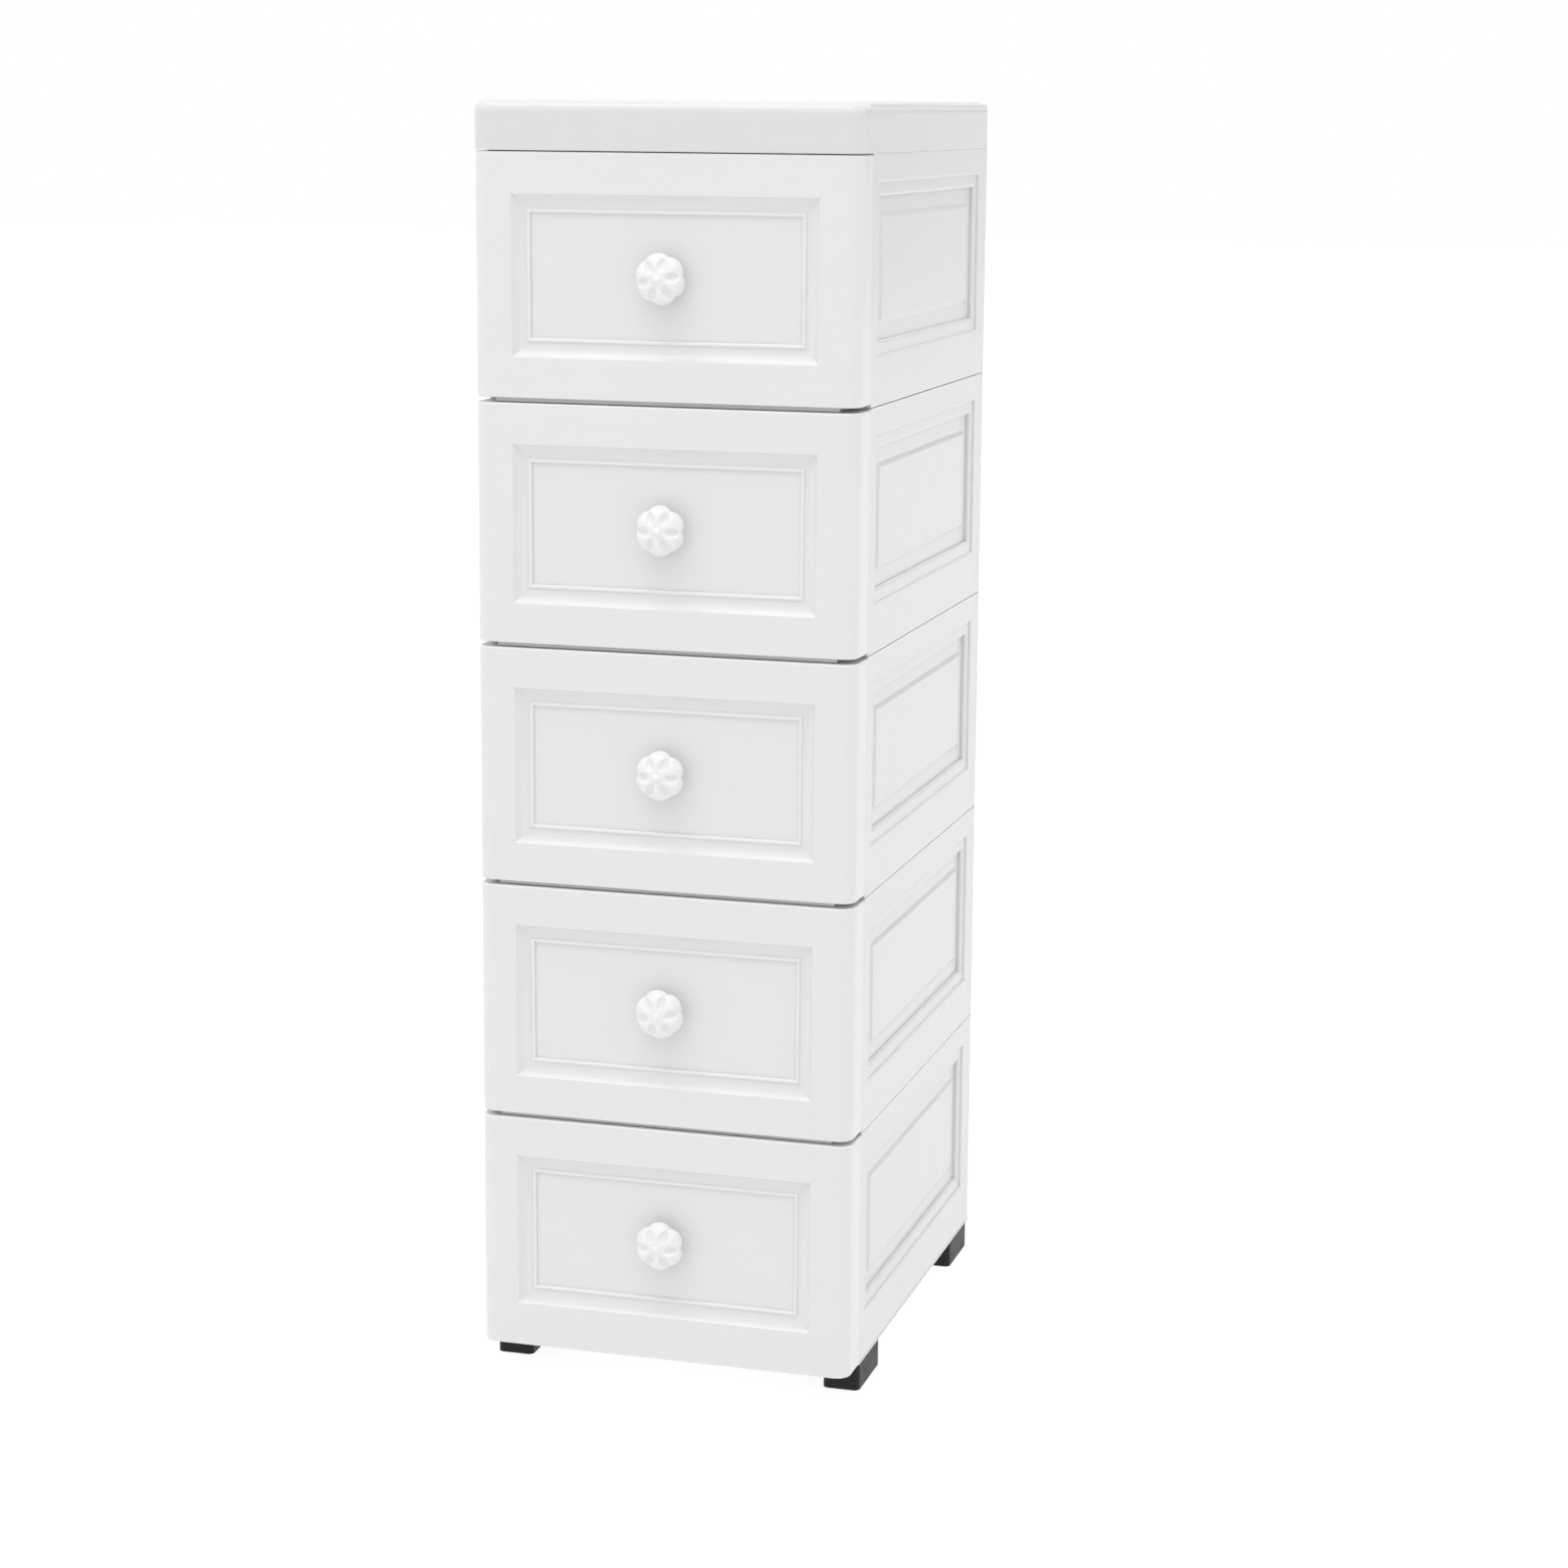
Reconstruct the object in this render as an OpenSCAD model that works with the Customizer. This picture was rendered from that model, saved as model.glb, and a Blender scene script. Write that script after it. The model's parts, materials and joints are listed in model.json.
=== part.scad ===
// Plastic drawer tower: five drawers with moulded fronts and flower knobs,
// in a carcass of side, back and shelf panels that stack on pegs.
// X runs across, Y from the drawer fronts to the back, Z up from the floor.
// The origin is on the floor, under the middle of the whole outline.

/* [Tower] */
// Width across the drawer fronts
tower_w = 260; // [230:5:340]
// Depth from the face of the drawer fronts to the back
tower_d = 362; // [300:1:450]
// Height of one tier, from one seam to the next
tier_pitch = 161; // [145:1:200]
// Number of drawers
tiers = 5; // [2:1:7]

/* [Drawer front] */
// Gap between one drawer front and the next
front_gap = 3.2; // [2:0.2:5]
// Depth of the front, back to the edge of its turned sides
front_depth = 30; // [24:1:40]
// Wall of the moulded front
front_wall = 2.4; // [1.8:0.2:3]
// Radius of the front's upright corners
front_corner_r = 10; // [6:1:14]
// Rounding of the front's long edges
front_edge_r = 1.2; // [0.8:0.1:3]
// Flat border around the moulding
border_w = 26.5; // [20:0.5:32]
// Width of the hollow cove
cove_w = 9.5; // [7:0.5:12]
// Depth of the cove at its inner edge
cove_depth = 4.4; // [3:0.2:5]
// Radius of the bead between the cove and the field
bead_r = 1.5; // [1:0.1:2]
// Drop from the inner edge of the cove to the flat field
field_drop = 0.8; // [0.4:0.1:1.6]

/* [Knob] */
// Length of the knob from the field to the tip of its bud
knob_len = 21; // [18:0.5:26]
// Petals around the bud
petals = 6; // [5:1:8]
// Distance of each petal's middle from the knob's axis
petal_ring_r = 8.6; // [7:0.2:9.2]
// Radius of one petal
petal_r = 8.2; // [7:0.2:9]
// Radius of the bud
bud_r = 3.6; // [3:0.2:4.6]
// Radius of the knob's foot on the drawer front
knob_foot_r = 8.5; // [7.6:0.5:11]
// Radius of the knob's neck
neck_r = 5.6; // [5:0.2:6.6]
// Radius of the screw that holds the knob
screw_r = 2; // [1.5:0.25:2.5]

/* [Drawer box] */
// Wall of the box
box_wall = 2; // [1.6:0.2:3]
// Radius of the box's upright corners
box_corner_r = 9; // [6:1:14]
// How far the rim stands out from the box's sides
rim_out = 4; // [3:0.5:6]
// Thickness of the rim
rim_t = 2.2; // [1.8:0.2:3]
// Height of the rim's turned-down lip
lip_h = 7; // [4:1:12]
// How far a drawer pulls out before its lugs meet the stop bar
travel = 240; // [160:5:260]

/* [Carcass] */
// Thickness of a side panel, from its face to the edge of its rim
side_t = 10; // [9:0.5:14]
// Skin of the side panels
side_skin = 2.2; // [1.8:0.2:3]
// Gap between a drawer front and the side panels behind it
front_reveal = 0.5; // [0.4:0.1:2]
// Border of the side moulding, front and rear
side_border_w = 13; // [10:1:20]
// Border of the side moulding, above
side_border_top = 17; // [14:1:24]
// Border of the side moulding, below
side_border_bottom = 31.5; // [26:0.5:36]
// Depth of the first step of the side moulding
step_depth = 1.5; // [1:0.1:2]
// Width of the ledge below the first step
ledge_w = 8.3; // [6:0.1:10]
// Rounding of the ledge's inner edge
step_r = 2; // [1:0.25:2.5]
// Depth of the channel around the raised panel
channel_depth = 4.5; // [3.5:0.1:5]
// Width from the ledge's edge to the foot of the raised panel
channel_w = 12.7; // [9:0.1:16]
// Height of the raised panel above the channel
raise_h = 1.5; // [1:0.1:2.4]
// Depth of the back panels' turned sides
back_depth = 17; // [14:1:24]
// Wall of the back panels
back_wall = 2.4; // [1.8:0.2:3]
// Radius of the carcass's rear corners
back_corner_r = 8; // [6:1:14]
// Thickness of a shelf
shelf_t = 2.4; // [2:0.2:3]
// Height of the stop bar under a shelf's front edge
stop_h = 12; // [10:0.5:16]
// Depth of the tongue on a shelf's front edge, behind the face of the drawer fronts
tongue_in = 5; // [4:0.5:12]

/* [Top and base] */
// Height of the top cover
cover_h = 32.2; // [26:0.2:45]
// Wall of the top cover
cover_wall = 2.6; // [2:0.2:3.4]
// How far the cover stands out past the panels below it
cover_over = 0.2; // [0:0.1:2]
// Rounding of the cover's top edge
cover_edge_r = 8; // [4:0.5:12]
// Lip of the base that shows below the side panels
base_lip = 1.5; // [1:0.1:3]
// Height of a foot
foot_h = 18.5; // [12:0.5:40]
// Width of a foot, across the tower
foot_w = 25.5; // [18:0.5:34]
// Length of a foot, front to back
foot_l = 56; // [34:1:70]
// Distance of the rear feet from the back
foot_back = 10; // [4:1:24]

/* [Hidden] */
$fn = 64;
white = [0.93, 0.93, 0.92];
pale = [0.88, 0.88, 0.87];
knob_white = [0.97, 0.97, 0.96];
black = [0.12, 0.12, 0.12];
steel = [0.7, 0.7, 0.72];

// Clearances
seat = 0.3;          // between pieces that seat on each other
seam_gap = 0.4;      // between a side panel and its neighbours, front to back
seam_open = 0.6;     // open line under each side and back panel
slide_gap = 0.3;     // skids above the deck they slide on
side_clear = 1.2;    // rim of a drawer box to a side panel, each side
stop_clear = 0.5;    // lug to stop bar at full travel
pass_clear = 1.5;    // what slides under a bar or a rib
rear_clear = 6;      // drawer box to back panel
peg_clear = 0.1;     // peg to hole, on the radius
thread_clear = 0.05; // screw to knob, on the radius
cut = 1;             // how far a cutting shape runs past a face

// Drawer front
front_h = tier_pitch - front_gap;
front_lift = 2.5;    // bottom edge of a front above its seam
last_drop = front_lift + base_lip - seat; // how much further down the last front reaches
tongue_clear = 0.4;  // tongue of a shelf to the drawer fronts above and below it
field_depth = cove_depth + field_drop;
moulding_w = cove_w + 2 * bead_r;
field_w = tower_w - 2 * (border_w + moulding_w);
field_h = front_h - 2 * (border_w + moulding_w);
bead_sink = 0.5;     // axis of the bead behind the cove's inner edge
cove_r = (cove_w * cove_w + cove_depth * cove_depth) / (2 * cove_depth);
pin_r = 2.5;
pin_x = field_w / 2 - 20;
pin_z = field_h / 2 - 14;
gusset_t = 1.6;
gusset_depth = front_depth - 6;

// Knob
knob_out = knob_len - field_depth;
head_t = 8;
bud_rise = 1.5;      // tip of the bud above the petals
head_z = knob_len - bud_rise - head_t;
petal_dome_r = 9.6;
petal_back_r = 14;
crease_w = 0.7;      // crease between two petals
web_r = petal_ring_r + petal_r / 2;
petal_flat = 0.6;    // what the flat at a petal's back takes off its rounding
foot_t = 1.6;
neck_rise = 4;
knob_back_r = petal_ring_r + petal_r / 3;
screw_grip = 9;      // length of the screw inside the knob
screw_head_r = 4;
screw_head_t = 2.4;
loose_turn = 10;     // every third knob sits a little further round on its screw
slot_w = 1;
slot_l = 4.6;

// Ribs
rib_t = 1.6;
rib_h = 5;           // depth of the ribs under a shelf

// Drawer box
box_y0 = field_depth + front_wall + seat;
box_y1 = tower_d - back_wall - rear_clear;
rim_w = tower_w - 2 * (side_t + side_clear);
box_w = rim_w - 2 * rim_out;
box_l = box_y1 - box_y0;
box_mid = (box_y0 + box_y1) / 2;
box_z = front_lift + front_wall + seat;
rim_z = tier_pitch - stop_h - 2;
box_h = rim_z - box_z;
skid_w = 4;
skid_x = box_w / 2 - 18;
lug_l = 14;
lug_w = 4;
lug_top = tier_pitch - rib_h - pass_clear;
box_ribs = 5;

// Carcass
carcass_y = front_depth + front_reveal;
side_y1 = tower_d - back_depth - seam_gap;
side_len = side_y1 - carcass_y;
side_mid = (side_y1 + carcass_y) / 2;
moulding_h = tier_pitch - side_border_top - side_border_bottom;
moulding_z = side_border_bottom + moulding_h / 2;
moulding_len = side_len - 2 * side_border_w;
raise_in = ledge_w + channel_w;
ramp_w = 3;
shelf_in = 4;        // edge of a shelf from the tower's outer face
shelf_w = tower_w - 2 * shelf_in;
shelf_y0 = carcass_y + seam_gap;
shelf_y1 = tower_d - back_wall - seat;
shelf_l = shelf_y1 - shelf_y0;
bar_t = 3;
tongue_t = front_gap - 2 * tongue_clear;
tongue_w = tower_w - 2 * (front_corner_r + shelf_in);
lug_y = shelf_y0 + bar_t + travel + stop_clear;
peg_r = 2.4;
peg_in = 7;          // pegs from the tower's outer face
peg_y = 25;          // pegs from the ends of a side panel
peg_rise = seat + side_skin + 0.8; // pegs above the shelf they go through
side_ribs = 3;
ledge_block = 6;
back_border_w = 30;
back_step = 1.4;
cover_ribs = 3;
foot_corner_r = 4;
foot_wall = 3;
foot_peg_r = 4;
foot_peg_y = foot_l / 4; // peg of a foot behind its middle, clear of the panels' pegs
base_rib_in = foot_w + 8;

// Height of the seam below tier k, counted from the top; tier 0 is the cover
function seam_z(k) = foot_h + base_lip + (tiers - k) * tier_pitch;

// ---- Frames ----

// From the drawer fronts' face at Y 0 to the part's own origin
module on_floor() {
    translate([0, (knob_out - tower_d - cover_over) / 2, 0]) children();
}

module at_tier(k) {
    on_floor() translate([0, 0, seam_z(k)]) children();
}

// A face drawn with Y going inwards, stood on the tower's right side or back
module on_right_side() {
    translate([tower_w / 2, side_mid, 0]) rotate([0, 0, 90]) children();
}

module on_back() {
    translate([0, tower_d, 0]) rotate([0, 0, 180]) children();
}

// ---- Shared shapes ----

// Runs a profile across a face; in the profile, X stands for height
module run_across(length) {
    rotate([0, -90, 0]) linear_extrude(length, center = true) children();
}

// Runs a profile from the front to the back; in the profile, Y is height
module run_back(length) {
    rotate([90, 0, 0]) linear_extrude(length, center = true) children();
}

module rounded_plate(w, l, r) {
    square([w, l - 2 * r], center = true);
    square([w - 2 * r, l], center = true);
    for (x = [-1, 1], y = [-1, 1])
        translate([x * (w / 2 - r), y * (l / 2 - r)]) circle(r);
}

// Rectangle from Y 0 to l, with its two corners at Y 0 rounded
module rounded_nose(w, l, r) {
    intersection() {
        translate([-w / 2, 0]) square([w, l]);
        union() {
            translate([-w / 2, r]) square([w, l]);
            translate([-w / 2 + r, 0]) square([w - 2 * r, l]);
            for (x = [-1, 1])
                translate([x * (w / 2 - r), r]) circle(r);
        }
    }
}

// Block with upright corners of radius r, whose edges above and below are rounded by e
// all the way round. It stands on Z 0 and is centred on the origin in plan.
module soft_block(w, l, h, r, e) {
    translate([0, 0, h / 2]) {
        run_across(w - 2 * r) rounded_plate(h, l, e);
        run_back(l - 2 * r) rounded_plate(w, h, e);
        for (x = [-1, 1], y = [-1, 1])
            translate([x * (w / 2 - r), y * (l / 2 - r), 0]) rotate_extrude()
                intersection() {
                    rounded_plate(2 * r, h, e);
                    translate([0, -h / 2]) square([r, h]);
                }
    }
}

// A moulding with mitred corners: what the upright and the level profile share
module mitred(w, h) {
    intersection() {
        translate([0, 0, -h / 2]) linear_extrude(h) children(0);
        run_across(w) children(1);
    }
}

// ---- Drawer front ----

// Cross-section of the recess over a span: a cove of one arc, the bead's seat and the field
module cove_profile(span, grow = 0) {
    edge = span / 2 - border_w + grow;
    cove_in = edge - cove_w;
    intersection() {
        translate([-edge, -cut]) square([2 * edge, cut + grow + cove_depth]);
        union() {
            for (side = [-1, 1])
                translate([side * cove_in, grow + cove_depth - cove_r]) circle(cove_r);
            translate([-cove_in, -cut]) square([2 * cove_in, cut + grow + cove_depth]);
        }
    }
    field_edge = edge - moulding_w;
    translate([-field_edge, -cut]) square([2 * field_edge, cut + grow + field_depth]);
}

module front_recess(grow = 0) {
    mitred(tower_w, front_h) {
        cove_profile(tower_w, grow);
        cove_profile(front_h, grow);
    }
}

// Half-sunk round bead along the field's edge, with ball corners
module front_bead() {
    w = field_w + 2 * bead_r;
    h = field_h + 2 * bead_r;
    translate([0, cove_depth + bead_sink, 0]) {
        for (x = [-1, 1])
            translate([x * w / 2, 0, -h / 2]) cylinder(h = h, r = bead_r);
        for (z = [-1, 1])
            translate([-w / 2, 0, z * h / 2]) rotate([0, 90, 0]) cylinder(h = w, r = bead_r);
        for (x = [-1, 1], z = [-1, 1])
            translate([x * w / 2, 0, z * h / 2]) sphere(bead_r);
    }
}

module front_outside(drop) {
    h = front_h + drop;
    translate([0, 0, -front_h / 2 - drop])
        intersection() {
            translate([0, front_depth, 0])
                soft_block(tower_w, 2 * front_depth, h, front_corner_r, front_edge_r);
            translate([-tower_w / 2, 0, 0]) cube([tower_w, front_depth, h]);
        }
}

module front_inside(drop) {
    translate([0, front_wall, front_wall - front_h / 2 - drop])
        linear_extrude(front_h + drop - 2 * front_wall)
            rounded_nose(tower_w - 2 * front_wall, front_depth, front_corner_r - front_wall);
}

// Level webs between the turned sides and the box
module front_gussets() {
    x0 = rim_w / 2 + side_clear / 2;
    for (side = [0, 1], z = [-1, 0, 1])
        mirror([side, 0, 0])
            translate([x0, front_wall / 2, z * front_h / 3 - gusset_t / 2])
                cube([tower_w / 2 - front_wall / 2 - x0, gusset_depth, gusset_t]);
}

module front_pins() {
    for (x = [-1, 1], z = [-1, 1])
        translate([x * pin_x, field_depth + front_wall / 2, z * pin_z])
            rotate([-90, 0, 0]) cylinder(h = front_wall / 2 + seat + box_wall, r = pin_r);
}

module drawer_front(k) {
    drop = k == tiers ? last_drop : 0;
    color(white) at_tier(k) translate([0, 0, front_lift + front_h / 2]) {
        difference() {
            union() {
                difference() {
                    front_outside(drop);
                    front_inside(drop);
                }
                intersection() {
                    front_outside(drop);
                    front_recess(front_wall);
                }
                intersection() {
                    front_outside(drop);
                    front_gussets();
                }
                front_pins();
            }
            front_recess();
            rotate([-90, 0, 0]) cylinder(h = front_depth, r = screw_r + peg_clear);
        }
        front_bead();
    }
}

// ---- Knob and its screw ----

// Drawn standing on the field, with its axis up
module knob_stem() {
    neck_z = foot_t + neck_rise;
    foot_curve = [for (a = [0:15:90])
        [knob_foot_r - (knob_foot_r - neck_r) * sin(a), foot_t + neck_rise * (1 - cos(a))]];
    flare = [for (a = [15:15:90])
        [neck_r + (knob_back_r - neck_r) * (1 - cos(a)),
         neck_z + (head_z + head_t / 3 - neck_z) * sin(a)]];
    rotate_extrude()
        polygon(concat([[0, 0], [knob_foot_r, 0]], foot_curve, flare,
                       [[0, head_z + head_t / 3]]));
}

// One domed petal, cut to its share of the circle so that a crease is left beside it
module petal() {
    share = 180 / petals;
    intersection() {
        translate([petal_ring_r, 0, 0]) cylinder(h = head_t + cut, r = petal_r);
        translate([petal_ring_r, 0, head_t - petal_dome_r]) sphere(petal_dome_r);
        translate([petal_ring_r, 0, petal_back_r - petal_flat]) sphere(petal_back_r);
        translate([crease_w / 2 / sin(share), 0, -cut]) linear_extrude(head_t + 2 * cut)
            polygon([[0, 0], [2 * knob_len, 2 * knob_len * tan(share)],
                     [2 * knob_len, -2 * knob_len * tan(share)]]);
    }
}

module knob(k) {
    turn = 180 / petals + (k % 3 == 1 ? loose_turn : 0);
    color(knob_white) at_tier(k)
        translate([0, field_depth, front_lift + front_h / 2]) rotate([90, 0, 0])
            difference() {
                union() {
                    knob_stem();
                    rotate([0, 0, turn])
                        for (i = [0:petals - 1])
                            rotate([0, 0, i * 360 / petals]) translate([0, 0, head_z]) petal();
                    translate([0, 0, head_z + head_t / 4]) cylinder(h = head_t / 3, r = web_r);
                    translate([0, 0, head_z + head_t / 3]) cylinder(h = head_t / 2, r = bud_r + 1);
                    translate([0, 0, knob_len - bud_r]) sphere(bud_r);
                }
                translate([0, 0, -cut])
                    cylinder(h = screw_grip + 2 * cut, r = screw_r + thread_clear);
            }
}

module knob_screw(k) {
    shank = box_y0 + box_wall - field_depth + screw_grip;
    color(steel) at_tier(k)
        translate([0, box_y0 + box_wall, front_lift + front_h / 2]) rotate([90, 0, 0])
            difference() {
                union() {
                    cylinder(h = shank, r = screw_r);
                    translate([0, 0, -screw_head_t]) cylinder(h = screw_head_t, r = screw_head_r);
                }
                for (turn = [0, 90])
                    rotate([0, 0, turn])
                        translate([-slot_l / 2, -slot_w / 2, -screw_head_t - cut])
                            cube([slot_l, slot_w, screw_head_t / 2 + cut]);
            }
}

// ---- Drawer box ----

module box_plan(inset) {
    translate([0, box_mid])
        rounded_plate(box_w - 2 * inset, box_l - 2 * inset, box_corner_r - inset);
}

// Rim along the sides and the back, ending level with the box's front wall
module rim_plan(inset) {
    difference() {
        translate([0, box_mid])
            rounded_plate(rim_w - 2 * inset, box_l + 2 * rim_out - 2 * inset,
                          box_corner_r + rim_out - inset);
        translate([-tower_w / 2, -tower_w]) square([tower_w, tower_w + box_y0]);
    }
}

// Upright webs outside the side and rear walls, under the rim
module box_webs() {
    z0 = box_z + box_wall;
    h = rim_z - rim_t / 2 - z0;
    depth = rim_out - rib_t / 2 + box_wall / 2;
    step = (box_l - 2 * box_corner_r) / (box_ribs + 1);
    for (side = [0, 1], i = [1:box_ribs])
        mirror([side, 0, 0])
            translate([box_w / 2 - box_wall / 2, box_y0 + box_corner_r + i * step, z0])
                cube([depth, rib_t, h]);
    for (x = [-1, 1])
        translate([x * box_w / 4 - rib_t / 2, box_y1 - box_wall / 2, z0])
            cube([rib_t, depth, h]);
}

module box_skids() {
    z0 = shelf_t + slide_gap;
    y0 = shelf_y0 + 2 * seam_gap;
    for (x = [-1, 1])
        translate([x * skid_x - skid_w / 2, y0, z0])
            cube([skid_w, box_y1 - box_corner_r - y0, box_z - z0 + box_wall / 2]);
}

// Stop lugs on the rim, with a ramp behind so that the drawer goes back in
module box_lugs() {
    for (side = [0, 1])
        mirror([side, 0, 0])
            translate([rim_w / 2 - lug_w / 2, lug_y, 0])
                rotate([90, 0, 90]) linear_extrude(lug_w, center = true)
                    polygon([[0, rim_z - rim_t], [lug_l, rim_z - rim_t],
                             [lug_l, rim_z], [lug_l / 2, lug_top], [0, lug_top]]);
}

module drawer_box(k) {
    color(pale) at_tier(k)
        difference() {
            union() {
                translate([0, 0, box_z]) linear_extrude(box_h) box_plan(0);
                translate([0, 0, rim_z - rim_t]) linear_extrude(rim_t) rim_plan(0);
                translate([0, 0, rim_z - lip_h]) linear_extrude(lip_h)
                    difference() {
                        rim_plan(0);
                        rim_plan(rib_t);
                    }
                box_webs();
                box_skids();
                box_lugs();
            }
            translate([0, 0, box_z + box_wall]) linear_extrude(tier_pitch) box_plan(box_wall);
            translate([0, box_y0 - cut, front_lift + front_h / 2]) rotate([-90, 0, 0]) {
                cylinder(h = box_wall + 2 * cut, r = screw_r + peg_clear);
                for (x = [-1, 1], z = [-1, 1])
                    translate([x * pin_x, z * pin_z, 0])
                        cylinder(h = box_wall + 2 * cut, r = pin_r + peg_clear);
            }
        }
}

// ---- Side panels ----

// Recess down to a floor, between two edges that start at a level and are rounded over by r
module round_recess(edge, level, floor_depth, r) {
    difference() {
        translate([-edge, -cut]) square([2 * edge, cut + floor_depth]);
        for (side = [-1, 1])
            translate([side * edge, level + r]) {
                circle(r);
                translate([-r, 0]) square([2 * r, floor_depth]);
            }
    }
}

// Cross-section of the side recess: a step, a ledge and the channel
module step_profile(span) {
    round_recess(span / 2, 0, step_depth, step_depth);
    round_recess(span / 2 - ledge_w, step_depth, channel_depth, step_r);
}

// Cross-section of what backs that recess, a skin's thickness behind it
module step_backing(span) {
    edge = span / 2 + side_skin;
    translate([-edge, 0]) square([2 * edge, step_depth + side_skin]);
    translate([ledge_w - edge, 0]) square([2 * (edge - ledge_w), channel_depth + side_skin]);
}

// Cross-section of the raised panel that stands in the channel
module raise_profile(span) {
    edge = span / 2 - raise_in;
    face = channel_depth - raise_h;
    polygon([[-edge, channel_depth + side_skin / 2], [-edge, channel_depth],
             [-edge + ramp_w, face], [edge - ramp_w, face],
             [edge, channel_depth], [edge, channel_depth + side_skin / 2]]);
}

module side_recess() {
    translate([0, 0, moulding_z]) mitred(side_len, tier_pitch) {
        step_profile(moulding_len);
        step_profile(moulding_h);
    }
}

module side_backing() {
    translate([0, 0, moulding_z]) mitred(side_len, tier_pitch) {
        step_backing(moulding_len);
        step_backing(moulding_h);
    }
}

module side_raise() {
    translate([0, 0, moulding_z]) mitred(side_len, tier_pitch) {
        raise_profile(moulding_len);
        raise_profile(moulding_h);
    }
}

// Hollow behind the raised panel, which keeps its wall even
module side_raise_hollow() {
    back_in = raise_in + ramp_w + side_skin / 2;
    w = moulding_len - 2 * back_in;
    h = moulding_h - 2 * back_in;
    y0 = channel_depth - raise_h + side_skin;
    translate([-w / 2, y0, moulding_z - h / 2]) cube([w, channel_depth + side_skin, h]);
}

// Rim and skin, drawn with the panel's face at Y 0 and its seam at Z 0
module side_tray() {
    rebate = shelf_t + seat;
    difference() {
        translate([-side_len / 2, 0, seam_open])
            cube([side_len, side_t, tier_pitch - seam_open]);
        translate([-side_len / 2 + side_skin, side_skin, rebate + side_skin])
            cube([side_len - 2 * side_skin, side_t, tier_pitch - rebate - 2 * side_skin]);
        translate([-side_len / 2 - cut, shelf_in - seat, -cut])
            cube([side_len + 2 * cut, side_t, rebate + cut]);
    }
}

module side_webs() {
    z0 = shelf_t + seat;
    step = side_len / (side_ribs + 1);
    for (i = [1:side_ribs])
        translate([-side_len / 2 + i * step - rib_t / 2, side_skin / 2, z0])
            cube([rib_t, side_t - side_skin / 2 - seat, tier_pitch - z0]);
}

module side_pegs(z0, h, r) {
    for (x = [-1, 1])
        translate([x * (side_len / 2 - peg_y), peg_in, z0]) cylinder(h = h, r = r);
}

module side_panel() {
    difference() {
        union() {
            difference() {
                union() {
                    side_tray();
                    side_webs();
                    intersection() {
                        translate([-side_len / 2, 0, 0]) cube([side_len, side_t, tier_pitch]);
                        side_backing();
                    }
                }
                side_recess();
            }
            side_raise();
            side_pegs(tier_pitch - side_skin / 2, side_skin / 2 + shelf_t + peg_rise, peg_r);
        }
        side_raise_hollow();
        side_pegs(0, shelf_t + seat + 2 * side_skin, peg_r + peg_clear);
    }
}

module side_panel_right(k) {
    color(white) at_tier(k) on_right_side() side_panel();
}

module side_panel_left(k) {
    color(white) at_tier(k) mirror([1, 0, 0]) on_right_side() side_panel();
}

// ---- Back panels ----

module back_recess(grow) {
    w = tower_w - 2 * back_border_w + 2 * grow;
    h = tier_pitch - 2 * back_border_w + 2 * grow;
    translate([-w / 2, -cut, (tier_pitch - h) / 2]) cube([w, cut + back_step + grow, h]);
}

module back_panel(k) {
    color(white) at_tier(k) on_back() {
        difference() {
            union() {
                difference() {
                    translate([0, 0, seam_open]) linear_extrude(tier_pitch - seam_open)
                        rounded_nose(tower_w, back_depth, back_corner_r);
                    translate([0, back_wall, -cut]) linear_extrude(tier_pitch + 2 * cut)
                        rounded_nose(tower_w - 2 * back_wall, back_depth,
                                     back_corner_r - back_wall);
                }
                intersection() {
                    linear_extrude(tier_pitch) rounded_nose(tower_w, back_depth, back_corner_r);
                    back_recess(back_wall);
                }
            }
            back_recess(0);
        }
        // blocks under the rear edge of the shelf above
        for (x = [-1, 1])
            translate([x * tower_w / 3 - ledge_block / 2, back_wall / 2, tier_pitch - ledge_block])
                cube([ledge_block, ledge_block, ledge_block - seat / 2]);
    }
}

// ---- Shelves, base and cover ----

module shelf_plan() {
    translate([0, shelf_y1]) mirror([0, 1])
        rounded_nose(shelf_w, shelf_l, back_corner_r - back_wall);
}

// Where the pegs of a pair of side panels stand
module peg_places() {
    for (x = [-1, 1], y = [-1, 1])
        translate([x * (tower_w / 2 - peg_in), side_mid + y * (side_len / 2 - peg_y), 0])
            children();
}

// Lattice of ribs over a span, below Z 0
module rib_lattice(w, l, depth, across, along) {
    for (i = [0:across])
        translate([-w / 2, i * (l - rib_t) / across, -depth]) cube([w, rib_t, depth]);
    for (i = [0:along])
        translate([-w / 2 + i * (w - rib_t) / along, 0, -depth]) cube([rib_t, l, depth]);
}

module shelf(k) {
    inner_w = tower_w - 2 * (side_t + seam_gap);
    color(pale) at_tier(k - 1) {
        difference() {
            linear_extrude(shelf_t) shelf_plan();
            peg_places() translate([0, 0, -cut])
                cylinder(h = shelf_t + 2 * cut, r = peg_r + peg_clear);
        }
        translate([-inner_w / 2, shelf_y0, -stop_h]) cube([inner_w, bar_t, stop_h + shelf_t / 2]);
        translate([-tongue_w / 2, tongue_in, front_lift - tongue_clear - tongue_t])
            cube([tongue_w, shelf_y0 + bar_t - tongue_in, tongue_t]);
        translate([0, shelf_y0, shelf_t / 2])
            rib_lattice(inner_w, side_y1 - shelf_y0, rib_h + shelf_t / 2, 4, 3);
    }
}

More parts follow.
